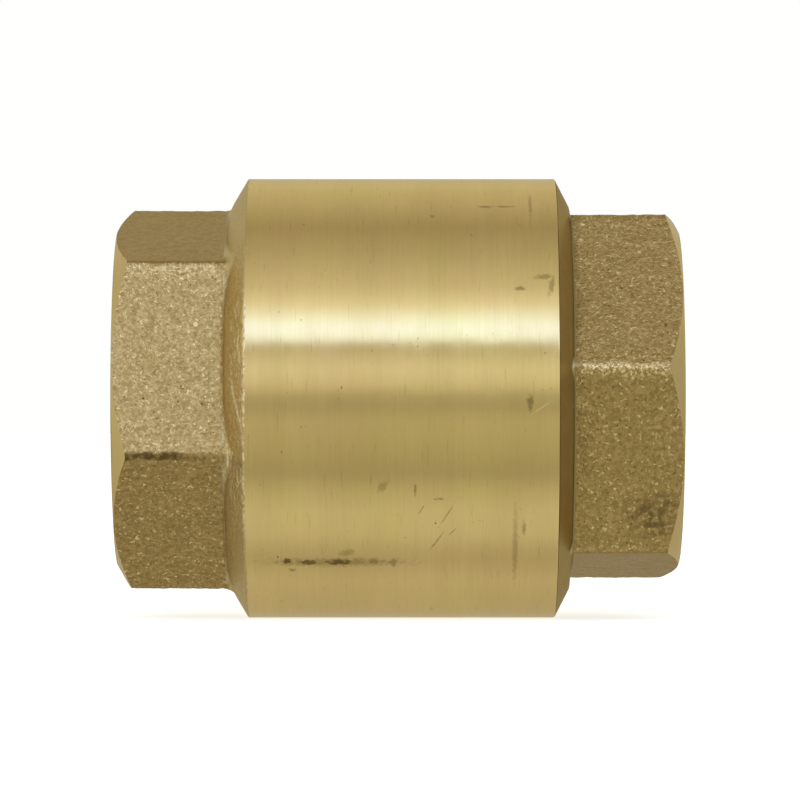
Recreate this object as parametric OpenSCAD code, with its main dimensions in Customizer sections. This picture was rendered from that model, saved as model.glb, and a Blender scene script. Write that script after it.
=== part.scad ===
// In-line spring check valve, two-piece brass housing, G 3/4 female ports.
// Frame: the origin is the centre of the inlet end face. +X is the flow direction and +Z is up.

/* [Envelope] */
// Overall length along the flow
overall_len = 53; // [52.5:0.5:56]
// Diameter of the turned barrel
barrel_d = 41.5; // [41:0.1:43]
// Width across the flats of both wrench hexagons
hex_af = 32; // [31.5:0.1:32.5]
// Turn of the inlet hexagon about the flow axis
inlet_hex_turn = 47; // [0:1:59]
// Turn of the outlet hexagon about the flow axis
outlet_hex_turn = 21; // [0:1:59]
// Diameter of the flat ring left on each end face by the hexagon chamfer
end_face_d = 31.6; // [30:0.1:31.8]

/* [Port threads] */
// Minor diameter of the G 3/4 female thread
thread_minor_d = 24.12; // [24.1:0.01:24.4]
// Diameter of the thread's countersink and of its run-out groove
thread_relief_d = 26.8; // [26.6:0.1:27]
// Depth of the inlet thread, measured from the end face
inlet_thread_depth = 10.4; // [9.5:0.1:10.5]
// Depth of the outlet thread, measured from the end face
outlet_thread_depth = 10.8; // [9.5:0.1:11]

/* [Housing joint] */
// Where the turned barrel starts, behind the forged shoulder
barrel_x = 12.4; // [12:0.1:13]
// Where the body ends and the cap's flange sits on it
joint_x = 41.3; // [41.2:0.1:41.5]
// Diameter of the body's bore for the cap's screwed spigot
joint_thread_d = 37; // [36.8:0.1:37.2]
// Length of the cap's spigot in the body
spigot_len = 7.8; // [7.5:0.1:8]
// Section of the O-ring between the body and the cap
o_ring_section = 1.55; // [1.5:0.05:1.58]

/* [Seat and poppet] */
// Diameter of the port through the seat
seat_port_d = 19.5; // [19:0.1:20]
// Position of the seat's sealing plane
seat_x = 21.05; // [21:0.05:21.1]
// Diameter of the chamber behind the seat
chamber_d = 35.2; // [34.8:0.1:35.4]
// Diameter of the poppet disc
disc_d = 26.6; // [26:0.1:27]
// Diameter of the stem where it runs in the outlet guide
stem_d = 5; // [4.9:0.01:5]
// Diameter of the stem's pilot, which runs in the inlet guide
pilot_d = 4; // [3.95:0.01:4.02]

/* [Guides] */
// Radial running clearance of the stem in its guides
running_gap = 0.07; // [0.03:0.01:0.09]
// Number of arms on the inlet guide
inlet_arms = 3; // [2:1:4]
// Number of arms on the outlet guide
outlet_arms = 4; // [3:1:4]

/* [Spring] */
// Wire diameter
wire_d = 0.7; // [0.6:0.05:0.75]
// Mean diameter of the coils
coil_d = 12.8; // [12.6:0.1:13]
// Total number of turns, closed end turns included
coil_turns = 4.6; // [4:0.1:5]

/* [Hidden] */
$fn = 96;
cut = 1;                    // how far a cutting shape runs past a face
fit_gap = 0.1;              // play round a part that is dropped into its recess
contact_gap = 0.05;         // gap that keeps two touching faces apart

// Wrench hexagons
hex_corner_r = hex_af / sqrt(3);
hex_chamfer_angle = 30;
end_face_r = end_face_d / 2;
chamfer_cut_r = hex_corner_r + 2;
chamfer_cut_len = (chamfer_cut_r - end_face_r) * tan(hex_chamfer_angle);

// Port threads, modelled as plain bores at the minor diameter
thread_r = thread_minor_d / 2;
relief_r = thread_relief_d / 2;
countersink_len = relief_r - thread_r;
relief_len = 1.2;

// Body
barrel_r = barrel_d / 2;
body_hex_len = inlet_thread_depth + fit_gap;
shoulder_root_r = 17.6;
recess_x = inlet_thread_depth + relief_len;
recess_len = 1.8;
recess_r = 11.4;
port_x = recess_x + recess_len;
port_r = seat_port_d / 2;
seat_lip_r = 11.2;
seat_foot_r = 11.6;
seat_height = 1.05;
seat_foot_x = seat_x - seat_height;
chamber_r = chamber_d / 2;
chamber_floor_x = 16.5;
joint_thread_r = joint_thread_d / 2;
joint_thread_gap = 0.3;     // from the end of the thread to the end of the spigot
joint_thread_x = joint_x - spigot_len - joint_thread_gap;
o_ring_step_len = 1.6;
o_ring_step_x = joint_x - o_ring_step_len;
o_ring_step_r = 19.25;
o_ring_sides = 32;

// Cap
spigot_x = joint_x - spigot_len;
spigot_r = joint_thread_r - contact_gap;
neck_r = chamber_r;
flange_step = 0.12;         // how far the flange's rim lies below the barrel
flange_r = barrel_r - flange_step;
flange_len = 1.4;
cap_hex_x = joint_x + flange_len;
flange_root_r = 18.1;
hex_root_len = 0.5;
guide_recess_r = 16.05;
guide_recess_len = 3.5;
guide_seat_x = spigot_x + guide_recess_len;
passage_r = 13.5;
throat_r = 11;
outlet_x = overall_len - outlet_thread_depth;
outlet_relief_len = 1;
throat_x = outlet_x - outlet_relief_len;

// Poppet
stem_r = stem_d / 2;
pilot_r = pilot_d / 2;
pilot_x = 11;
stem_thread_x = 17.75;
seal_x = seat_x + contact_gap;
seal_len = 2;
seal_r = 12.6;
seal_hole_r = 5;
retainer_r = 8.8;
retainer_len = 1;
disc_r = disc_d / 2;
disc_boss_r = 4.9;
disc_lip_r = seal_r + fit_gap;
disc_lip_len = 1.2;
disc_x = seal_x + seal_len;
disc_len = 2.5;
disc_back_x = disc_x + disc_len;
disc_edge = 0.4;
collar_r = 5.6;
collar_len = 1.6;
stem_end_gap = 0.2;
stem_end_x = throat_x - stem_end_gap;
stem_edge = 0.4;
thread_gap = 0.03;
nut_af = 8;
nut_corner_d = nut_af / cos(30);
nut_len = 2.2;

// Guides
arm_inset = 0.2;
arm_root = 1;
inlet_ring_r = recess_r - fit_gap;
inlet_ring_hole_r = 9.2;
inlet_hub_r = 3.8;
inlet_hub_len = 6.2;
inlet_arm_w = 2;
circlip_len = 1;
circlip_gap = 0.15;
circlip_x = inlet_thread_depth + circlip_gap;
circlip_r = relief_r - fit_gap;
circlip_w = 2.4;
circlip_gap_angle = 44;
circlip_lug_r = 1.5;
circlip_lug_angle = circlip_gap_angle / 2 + 5;
circlip_hole_r = 0.65;
outlet_ring_r = guide_recess_r - contact_gap;
outlet_ring_len = 2;
outlet_guide_x = guide_seat_x - outlet_ring_len;
outlet_arm_w = 2.2;
outlet_arm_turn = 45;
outlet_hub_r = 4.6;
outlet_hub_back = 3.2;      // how far the hub stands out towards the poppet
outlet_hub_front = 4.5;     // and how far it reaches the other way
outlet_hub_x = outlet_guide_x - outlet_hub_back;
outlet_hub_end_x = outlet_guide_x + outlet_hub_front;
washer_len = 0.6;
washer_x = outlet_guide_x - washer_len;
washer_gap = 0.3;
washer_hole_r = outlet_hub_r + washer_gap;
washer_r = 7.4;

// Spring, as installed between the disc and the washer
spring_x = disc_back_x;
spring_len = washer_x - spring_x;
wire_r = wire_d / 2;
coil_r = coil_d / 2;
closed_turns = 0.8;
closed_gap = 0.014;
closed_pitch = wire_d + closed_gap;
wire_sides = 8;
rings_per_turn = 20;
open_turns = coil_turns - 2 * closed_turns;
open_pitch = (spring_len - wire_d - 2 * closed_turns * closed_pitch) / open_turns;

// Lays a shape drawn along +Z along the flow axis, starting at the given position.
module along_flow(x = 0) {
    translate([x, 0, 0]) rotate([0, 90, 0]) children();
}

// Revolves an outline of [position, radius] points about the flow axis.
module turned(outline) {
    along_flow() rotate_extrude() polygon([for (p = outline) [p[1], p[0]]]);
}

module rod(x, length, r) {
    along_flow(x) cylinder(r = r, h = length);
}

// Hexagonal prism along the flow, between two positions.
module wrench_hex(x0, x1, turn) {
    along_flow(x0) rotate([0, 0, turn]) cylinder(r = hex_corner_r, h = x1 - x0, $fn = 6);
}

// Flat bars of a guide that run from its hub to its ring.
module guide_arms(x, length, width, reach, count, turn) {
    for (i = [0 : count - 1])
        rotate([turn + i * 360 / count, 0, 0])
            translate([x, 0, -width / 2]) cube([length, reach, width]);
}

module body_bore() {
    turned([
        [-cut, 0], [-cut, relief_r + cut], [countersink_len, thread_r],
        [inlet_thread_depth, thread_r], [inlet_thread_depth, relief_r],
        [recess_x, relief_r], [recess_x, recess_r], [port_x, recess_r], [port_x, port_r],
        [seat_x, port_r], [seat_x, seat_lip_r], [seat_foot_x, seat_foot_r],
        [chamber_floor_x, chamber_r], [joint_thread_x, chamber_r],
        [joint_thread_x, joint_thread_r], [o_ring_step_x, joint_thread_r],
        [o_ring_step_x, o_ring_step_r], [joint_x + cut, o_ring_step_r], [joint_x + cut, 0]
    ]);
}

module valve_body() {
    color([0.72, 0.58, 0.34]) difference() {
        union() {
            intersection() {
                wrench_hex(0, barrel_x + cut, inlet_hex_turn);
                turned([
                    [0, 0], [0, end_face_r], [chamfer_cut_len, chamfer_cut_r],
                    [barrel_x + 2 * cut, chamfer_cut_r], [barrel_x + 2 * cut, 0]
                ]);
            }
            turned([
                [body_hex_len, 0], [body_hex_len, shoulder_root_r], [barrel_x, barrel_r],
                [joint_x, barrel_r], [joint_x, 0]
            ]);
        }
        body_bore();
    }
}

module cap_bore() {
    turned([
        [spigot_x - cut, 0], [spigot_x - cut, guide_recess_r], [guide_seat_x, guide_recess_r],
        [guide_seat_x, passage_r], [throat_x, throat_r], [throat_x, relief_r],
        [outlet_x, relief_r], [outlet_x, thread_r], [overall_len - countersink_len, thread_r],
        [overall_len + cut, relief_r + cut], [overall_len + cut, 0]
    ]);
}

module end_cap() {
    color([0.66, 0.52, 0.3]) difference() {
        union() {
            intersection() {
                wrench_hex(cap_hex_x - hex_root_len, overall_len, outlet_hex_turn);
                turned([
                    [joint_x, 0], [joint_x, chamfer_cut_r],
                    [overall_len - chamfer_cut_len, chamfer_cut_r],
                    [overall_len, end_face_r], [overall_len, 0]
                ]);
            }
            turned([
                [spigot_x, 0], [spigot_x, spigot_r], [o_ring_step_x - fit_gap, spigot_r],
                [o_ring_step_x - fit_gap, neck_r], [joint_x, neck_r], [joint_x, flange_r],
                [cap_hex_x, flange_root_r], [cap_hex_x, 0]
            ]);
        }
        cap_bore();
    }
}

module cap_o_ring() {
    color([0.08, 0.08, 0.09])
        along_flow((o_ring_step_x + joint_x) / 2)
            rotate_extrude()
                translate([(neck_r + o_ring_step_r) / 2, 0]) circle(d = o_ring_section, $fn = o_ring_sides);
}

module inlet_guide() {
    color([0.87, 0.86, 0.8]) difference() {
        union() {
            difference() {
                rod(recess_x, recess_len, inlet_ring_r);
                rod(recess_x - cut, recess_len + 2 * cut, inlet_ring_hole_r);
            }
            guide_arms(recess_x + arm_inset, recess_len - 2 * arm_inset, inlet_arm_w,
                       inlet_ring_hole_r + arm_root, inlet_arms, 0);
            rod(recess_x - arm_inset, inlet_hub_len, inlet_hub_r);
        }
        rod(recess_x - 2 * cut, inlet_hub_len + 4 * cut, pilot_r + running_gap);
    }
}

module inlet_circlip() {
    lug_at = circlip_r - circlip_w;
    color([0.74, 0.74, 0.75]) along_flow(circlip_x) linear_extrude(circlip_len) difference() {
        union() {
            difference() {
                circle(r = circlip_r);
                circle(r = circlip_r - circlip_w);
                polygon([
                    [0, 0],
                    [2 * circlip_r * cos(circlip_gap_angle / 2), 2 * circlip_r * sin(circlip_gap_angle / 2)],
                    [2 * circlip_r * cos(circlip_gap_angle / 2), -2 * circlip_r * sin(circlip_gap_angle / 2)]
                ]);
            }
            for (side = [-1, 1])
                rotate(side * circlip_lug_angle) translate([lug_at, 0]) circle(r = circlip_lug_r);
        }
        for (side = [-1, 1])
            rotate(side * circlip_lug_angle) translate([lug_at, 0]) circle(r = circlip_hole_r);
    }
}

module outlet_guide() {
    color([0.87, 0.86, 0.8]) difference() {
        union() {
            difference() {
                rod(outlet_guide_x, outlet_ring_len, outlet_ring_r);
                rod(outlet_guide_x - cut, outlet_ring_len + 2 * cut, passage_r);
            }
            guide_arms(outlet_guide_x, outlet_ring_len - arm_inset, outlet_arm_w,
                       passage_r + arm_root, outlet_arms, outlet_arm_turn);
            rod(outlet_hub_x, outlet_hub_end_x - outlet_hub_x, outlet_hub_r);
        }
        rod(outlet_hub_x - cut, outlet_hub_end_x - outlet_hub_x + 2 * cut, stem_r + running_gap);
    }
}

module spring_washer() {
    color([0.74, 0.74, 0.75]) difference() {
        rod(washer_x, washer_len, washer_r);
        rod(washer_x - cut, washer_len + 2 * cut, washer_hole_r);
    }
}

// Height of the wire's centre line after a number of turns: closed turns, open turns, closed turns.
function coil_height(t) =
    wire_r
    + closed_pitch * min(t, closed_turns)
    + open_pitch * max(0, min(t - closed_turns, open_turns))
    + closed_pitch * max(0, t - closed_turns - open_turns);

// One ring of the wire's section, in the plane through the flow axis.
function wire_ring(t) = [
    for (k = [0 : wire_sides - 1])
        let (r = coil_r + wire_r * cos(k * 360 / wire_sides))
            [coil_height(t) + wire_r * sin(k * 360 / wire_sides), r * cos(360 * t), r * sin(360 * t)]
];

module spring() {
    rings = ceil(coil_turns * rings_per_turn);
    points = [for (i = [0 : rings]) each wire_ring(i * coil_turns / rings)];
    walls = [
        for (i = [0 : rings - 1], k = [0 : wire_sides - 1])
            let (a = i * wire_sides, b = a + wire_sides, n = (k + 1) % wire_sides)
                [a + k, a + n, b + n, b + k]
    ];
    start = [for (k = [wire_sides - 1 : -1 : 0]) k];
    finish = [for (k = [0 : wire_sides - 1]) rings * wire_sides + k];
    color([0.7, 0.71, 0.73])
        translate([spring_x, 0, 0]) polyhedron(points, concat([start], walls, [finish]));
}

module poppet_stem() {
    color([0.78, 0.66, 0.4]) turned([
        [pilot_x, 0], [pilot_x, pilot_r - stem_edge], [pilot_x + stem_edge, pilot_r],
        [stem_thread_x, pilot_r], [stem_thread_x, stem_r], [disc_back_x, stem_r],
        [disc_back_x, collar_r], [disc_back_x + collar_len, collar_r],
        [disc_back_x + collar_len, stem_r], [stem_end_x - stem_edge, stem_r],
        [stem_end_x, stem_r - stem_edge], [stem_end_x, 0]
    ]);
}

module poppet_disc() {
    color([0.78, 0.64, 0.36]) turned([
        [seal_x, stem_r + thread_gap], [seal_x, disc_boss_r], [disc_x, disc_boss_r],
        [disc_x, disc_lip_r], [disc_x - disc_lip_len, disc_lip_r], [disc_x - disc_lip_len, disc_r],
        [disc_back_x - disc_edge, disc_r], [disc_back_x, disc_r - disc_edge],
        [disc_back_x, stem_r + thread_gap]
    ]);
}

module seat_seal() {
    color([0.09, 0.09, 0.1]) turned([
        [seal_x, seal_hole_r], [seal_x, seal_r], [disc_x, seal_r], [disc_x, seal_hole_r]
    ]);
}

module seal_retainer() {
    color([0.78, 0.64, 0.36]) turned([
        [seal_x - retainer_len, stem_r + thread_gap], [seal_x - retainer_len, retainer_r - disc_edge],
        [seal_x - retainer_len + disc_edge, retainer_r], [seal_x, retainer_r],
        [seal_x, stem_r + thread_gap]
    ]);
}

module stem_nut() {
    nut_x = seal_x - retainer_len - nut_len;
    color([0.74, 0.74, 0.75]) difference() {
        along_flow(nut_x) cylinder(d = nut_corner_d, h = nut_len, $fn = 6);
        rod(nut_x - cut, nut_len + 2 * cut, stem_r + thread_gap);
    }
}

valve_body();
end_cap();
cap_o_ring();
inlet_guide();
inlet_circlip();
outlet_guide();
spring_washer();
spring();
poppet_stem();
poppet_disc();
seat_seal();
seal_retainer();
stem_nut();
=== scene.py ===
"""Looks of the spring check valve. Lengths are in millimetres until a mesh is made, and metres after."""

import math

import bmesh
import bpy
import numpy as np
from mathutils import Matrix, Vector, noise


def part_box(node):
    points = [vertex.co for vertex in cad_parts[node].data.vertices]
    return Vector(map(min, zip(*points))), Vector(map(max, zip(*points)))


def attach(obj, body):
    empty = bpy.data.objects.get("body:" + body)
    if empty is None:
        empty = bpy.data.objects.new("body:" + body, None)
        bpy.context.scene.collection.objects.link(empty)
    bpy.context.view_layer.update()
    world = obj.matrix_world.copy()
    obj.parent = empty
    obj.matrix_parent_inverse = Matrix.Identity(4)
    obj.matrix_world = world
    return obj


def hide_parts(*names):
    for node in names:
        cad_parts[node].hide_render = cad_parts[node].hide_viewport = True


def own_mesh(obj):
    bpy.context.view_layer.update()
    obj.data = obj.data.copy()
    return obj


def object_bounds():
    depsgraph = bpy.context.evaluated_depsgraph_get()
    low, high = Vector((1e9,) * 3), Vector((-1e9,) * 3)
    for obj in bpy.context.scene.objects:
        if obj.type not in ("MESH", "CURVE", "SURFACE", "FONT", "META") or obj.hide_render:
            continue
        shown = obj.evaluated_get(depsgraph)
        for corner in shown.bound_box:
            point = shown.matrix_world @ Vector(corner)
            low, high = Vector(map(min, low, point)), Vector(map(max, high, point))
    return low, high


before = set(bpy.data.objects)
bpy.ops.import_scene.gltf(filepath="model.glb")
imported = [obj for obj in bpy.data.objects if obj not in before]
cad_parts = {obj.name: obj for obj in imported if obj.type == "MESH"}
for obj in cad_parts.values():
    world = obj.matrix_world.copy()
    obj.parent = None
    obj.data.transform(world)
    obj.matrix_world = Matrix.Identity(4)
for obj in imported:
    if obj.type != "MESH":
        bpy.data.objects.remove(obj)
cad_low, cad_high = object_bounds()

MM = 0.001


def span(node):
    """A node's box as (lowest corner, highest corner), in millimetres."""
    low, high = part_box(node)
    return low / MM, high / MM


# ------------------------------------------------ sizes from the frame

body_high = span("valve_body")[1]
cap_low, cap_high = span("end_cap")
LENGTH = cap_high.x
BARREL_R = body_high.z
JOINT_X = body_high.x
SPIGOT_X = cap_low.x

# Wrench hexagons
HEX_AF = 32.0
HEX_EDGE_R = 0.9                # rounding of the forged corners
BODY_CORNER = math.radians(43)  # one corner of the inlet hexagon, up from the front
CAP_CORNER = math.radians(9)    # one corner of the outlet hexagon
END_FACE_R = 15.8
CHAMFER_SLOPE = math.tan(math.radians(30))

# Port threads, G 3/4
THREAD_R = 12.06
THREAD_DEPTH = 1.162
PITCH = 1.814
RELIEF_R = 13.4
INLET_DEPTH = 10.4
OUTLET_X = LENGTH - 10.8

# Bore of the body, from its guide seat to the step for the o-ring
RECESS_X = 11.6
RECESS_R = 11.4
PORT_X = 13.4
PORT_R = 9.75
SEAT_X = 21.05
SEAT_LIP_R = 11.2
SEAT_FOOT_X = 20.0
SEAT_FOOT_R = 11.6
CHAMBER_FLOOR_X = 16.5
CHAMBER_R = 17.6
SPIGOT_BORE_X = SPIGOT_X - 0.3
SPIGOT_BORE_R = 18.5
O_RING_STEP_X = JOINT_X - 1.6
O_RING_STEP_R = 19.25

# Spigot and bore of the cap
SPIGOT_R = 18.45
SPIGOT_END_X = O_RING_STEP_X - 0.1
GUIDE_SEAT_X = SPIGOT_X + 3.5
GUIDE_RECESS_R = 16.05
PASSAGE_R = 13.5
THROAT_X = OUTLET_X - 1.0
THROAT_R = 11.0
INNER_EDGE = 0.12               # flat that breaks each inner corner

# Poppet
STEM_R = 2.5
PILOT_R = 2.0
STEM_THREAD_X = 17.75
STEM_PITCH = 0.8
COLLAR_LEN = 1.6
POPPET_BORE_R = 2.53
DISC_BOSS_R = 4.9
DISC_LIP_R = 12.7
DISC_LIP_LEN = 1.2
SEAL_HOLE_R = 5.0
WASHER_HOLE_R = 4.9
NUT_AF = 8.0

# Spring
WIRE_D = 0.7
COIL_TURNS = 4.6
CLOSED_TURNS = 0.8

# Forged shoulder of the body
SHOULDER_FACE_X = 10.52
SHOULDER_ROOT_R = 17.6
SHOULDER_SLOPE = 0.595          # run along the flow per millimetre of radius
SHOULDER_BEND = 0.32            # softness of the bend from face to cone
BARREL_X = SHOULDER_FACE_X + SHOULDER_SLOPE * (BARREL_R - SHOULDER_ROOT_R)
BODY_ROOT = 0.9                 # concave rounding where the hexagon meets the shoulder
SHOULDER_EDGE = 0.24            # rounding of the shoulder's edge at the barrel

# Cap flange: radii, and how far past the joint its face lies at each
FLANGE_R = cap_high.z
FLANGE_RADII = (HEX_AF / 2, 18.1, FLANGE_R)
FLANGE_STEPS = (1.42, 1.34, 0.04)
CAP_ROOT = 0.22                 # concave rounding where the flange meets the hexagon

COLUMNS = 480
COLUMN_PULL = 0.35              # how strongly columns crowd towards the hexagon corners
THREAD_ROWS = 12                # rows per pitch
TURN = 2 * math.pi


# ------------------------------------------------ mesh tools

def column_angles(corner, count=COLUMNS, pull=COLUMN_PULL):
    """Angles of the columns round the axis, from the front upwards, closer together near hexagon corners."""
    even = np.arange(count) * TURN / count
    return even - pull * np.sin(6 * (even - corner)) / 6


def place(angles, x, r):
    """Points at positions x and radii r, both shaped (rows, columns), in metres."""
    y = -r * np.cos(angles)
    z = r * np.sin(angles)
    return np.stack([x, y, z], axis=-1) * MM


def make_object(name, points, faces, slots=None, sharp=38.0):
    """A welded, smooth-shaded object from an array of points and one of quads."""
    mesh = bpy.data.meshes.new(name)
    mesh.from_pydata(points.reshape(-1, 3).tolist(), [], faces.tolist())
    if slots is not None:
        mesh.polygons.foreach_set("material_index", slots)
    work = bmesh.new()
    work.from_mesh(mesh)
    bmesh.ops.remove_doubles(work, verts=work.verts, dist=2e-7)
    bmesh.ops.dissolve_degenerate(work, edges=work.edges, dist=1e-8)
    bmesh.ops.recalc_face_normals(work, faces=work.faces)
    for face in work.faces:
        face.smooth = True
    work.to_mesh(mesh)
    work.free()
    mesh.set_sharp_from_angle(angle=math.radians(sharp))
    made = bpy.data.objects.new(name, mesh)
    bpy.context.scene.collection.objects.link(made)
    return made


class Outline:
    """A closed outline in the plane through the axis, which may change from column to column."""

    def __init__(self, angles):
        self.angles = angles
        self.x, self.r, self.zone = [], [], []
        self.helix = None

    def row(self, x, r, zone):
        """One row of points, at an x and an r that may each be a number or one value per column."""
        one = np.ones_like(self.angles)
        self.x.append(one * x)
        self.r.append(one * r)
        self.zone.append(zone)

    def line(self, start, end, rows, zone):
        """Rows from start to end, start included and end left to the next stretch."""
        for i in range(rows):
            t = i / rows
            self.row(start[0] + t * (end[0] - start[0]), start[1] + t * (end[1] - start[1]), zone)

    def bend(self, start, middle, end, rows, zone):
        """Rows along a quadratic curve that leaves start and reaches end, both towards middle."""
        for i in range(rows):
            t = i / rows
            a, b, c = (1 - t) ** 2, 2 * t * (1 - t), t * t
            self.row(a * start[0] + b * middle[0] + c * end[0],
                     a * start[1] + b * middle[1] + c * end[1], zone)

    def thread(self, low, high, radius, zone, along=-1, pitch=PITCH, rows=THREAD_ROWS, limit=None):
        """A right-hand thread between two positions.

        radius(phase) gives the wall, and limit(x, r) may widen it, as a countersink does. Rows run towards
        -X or +X by the sign of along.
        """
        turns = (high - low) / pitch
        count = math.ceil((turns + 1) * rows)
        first = len(self.x)
        lead = self.angles - self.angles[0]
        for j in range(count + 1):
            outside = pitch * (1 - j / rows)
            start = high + outside if along < 0 else low - outside
            kept = np.clip(start - pitch * lead / TURN, low, high)
            phase = (kept / pitch + lead / TURN) % 1.0
            r = radius(phase)
            if limit is not None:
                r = limit(kept, r)
            self.x.append(kept)
            self.r.append(r)
            self.zone.append(zone)
        self.helix = (first, len(self.x) - 1, rows if along < 0 else -rows)

    def build(self, name, sharp=38.0, closed=True):
        """The object that the rows make when swept once round the axis."""
        points = place(self.angles, np.array(self.x), np.array(self.r))
        rows, columns = points.shape[:2]
        last = rows if closed else rows - 1
        row, column = np.meshgrid(np.arange(last), np.arange(columns), indexing="ij")
        below = (row + 1) % rows
        beside = (column + 1) % columns
        a = row * columns + column
        b = below * columns + column
        c = self.across(below, column, columns) * columns + beside
        d = self.across(row, column, columns) * columns + beside
        faces = np.stack([a, b, c, d], axis=-1).reshape(-1, 4)
        slots = np.repeat(np.array(self.zone[:last], np.int32), columns)
        return make_object(name, points, faces, slots, sharp)

    def across(self, row, column, columns):
        """The row that a face meets in the next column. A thread's rows move on by a pitch once round."""
        if self.helix is None:
            return row
        low, high, shift = self.helix
        inside = (row >= low) & (row <= high) & (column == columns - 1)
        return np.where(inside, np.clip(row + shift, low, high), row)


def hex_radius(angles, corner, width=HEX_AF, rounding=HEX_EDGE_R):
    """Radius of a hexagon with rounded corners."""
    flat = width / 2
    from_corner = (angles - corner + TURN / 12) % (TURN / 6) - TURN / 12
    from_flat = TURN / 12 - np.abs(from_corner)
    straight = flat / np.cos(from_flat)
    centre = (flat - rounding) / math.cos(TURN / 12)
    reach = (centre * np.sin(from_corner)) ** 2
    arc = centre * np.cos(from_corner) + np.sqrt(np.maximum(rounding**2 - reach, 0))
    arc_end = math.atan((flat - rounding) * math.tan(TURN / 12) / flat)
    return np.where(from_flat > arc_end, arc, straight)


def thread_wall(phase):
    """Radius of a 55 degree female pipe thread with its crests and roots rounded off."""
    height = 0.960491 * PITCH
    total = 0
    for shift in (-0.05, -0.025, 0.0, 0.025, 0.05):
        wave = np.abs(2 * ((phase + shift) % 1.0) - 1)
        total = total + np.clip(height * (wave - 1 / 6), 0, THREAD_DEPTH)
    return THREAD_R + total / 5


def roughness(angles, x, r, scale, depth, seed, octaves):
    """Hills and hollows of a forged skin, in millimetres, at each column of one row."""
    one = np.ones_like(angles)
    points = np.stack([one * x, -r * np.cos(angles), r * np.sin(angles)], axis=-1) * scale + seed
    return depth * np.array([noise.fractal(Vector(p), 0.9, 2.0, octaves) for p in points])


def skin(angles, x, r, seed):
    """Forged skin: slow unevenness and blasting marks."""
    slow = roughness(angles, x, r, scale=0.16, depth=0.05, seed=seed, octaves=2)
    fine = roughness(angles, x, r, scale=1.15, depth=0.045, seed=seed + 31, octaves=3)
    return slow + fine


# ------------------------------------------------ housing pieces

FORGED, TURNED, MACHINED, FLANGE = 0, 1, 2, 3    # material slots of the body and the cap


def break_edges(outline, corners, size, zone=MACHINED):
    """Rows along a list of [x, r] corners, each one broken by a small flat except the first and last."""
    last = len(corners) - 1
    for i, (x, r) in enumerate(corners):
        here = Vector((x, r))
        for other in (i - 1, i + 1):
            if 0 <= other <= last:
                towards = Vector(corners[other]) - here
                step = here + towards.normalized() * min(size, towards.length / 3)
                outline.row(step.x, step.y, zone)
            else:
                outline.row(x, r, zone)


def forged_flats(outline, x0, x1, flat_r, rows, seed):
    """Rows of a hexagon's rough side between two positions, each of which may change with the column."""
    for i in range(rows):
        t = i / rows
        x = x0 + t * (x1 - x0)
        outline.row(x, flat_r + skin(outline.angles, x, flat_r, seed), FORGED)


def body_shoulder_x(r):
    """Where the body's shoulder lies along the flow at a radius: a face that turns into a cone."""
    over = (r - SHOULDER_ROOT_R) / SHOULDER_BEND
    return SHOULDER_FACE_X + SHOULDER_SLOPE * SHOULDER_BEND * np.logaddexp(0, over)


def body_shoulder(outline, flat_r, seed):
    """The concave root of the hexagon and the rough cone up to the barrel's rounded, ragged edge.

    Its skin is uneven outwards where it meets the hexagon and lengthwise where it meets the barrel.
    """
    start = (body_shoulder_x(flat_r) - BODY_ROOT, flat_r)
    middle = (body_shoulder_x(flat_r), flat_r)
    end = (body_shoulder_x(flat_r + BODY_ROOT), flat_r + BODY_ROOT)
    root_rows = 9
    cone_rows = 10
    first = len(outline.x)
    outline.bend(start, middle, end, root_rows, FORGED)
    top_r = BARREL_R - SHOULDER_EDGE
    for i in range(cone_rows):
        r = end[1] + (top_r - end[1]) * i / cone_rows
        outline.row(body_shoulder_x(r), r, FORGED)
    for i in range(first, len(outline.x)):
        up = (i - first) / (root_rows + cone_rows)
        uneven = skin(outline.angles, outline.x[i], outline.r[i], seed) * (1 - 0.5 * up)
        outline.x[i] = outline.x[i] - uneven * up
        outline.r[i] = outline.r[i] + uneven * (1 - up)
    ragged = roughness(outline.angles, BARREL_X, BARREL_R, scale=1.5, depth=0.12, seed=seed + 5, octaves=3)
    barrel_x = BARREL_X + ragged + 0.1
    outline.bend((body_shoulder_x(top_r), top_r), (BARREL_X - 0.04, BARREL_R - 0.02),
                 (barrel_x, BARREL_R), 5, FORGED)
    return barrel_x


def inlet_mouth(x, r):
    """Countersink of the inlet port."""
    return np.maximum(r, RELIEF_R - x)


def outlet_mouth(x, r):
    """Countersink of the outlet port."""
    return np.maximum(r, RELIEF_R - (LENGTH - x))


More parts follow.
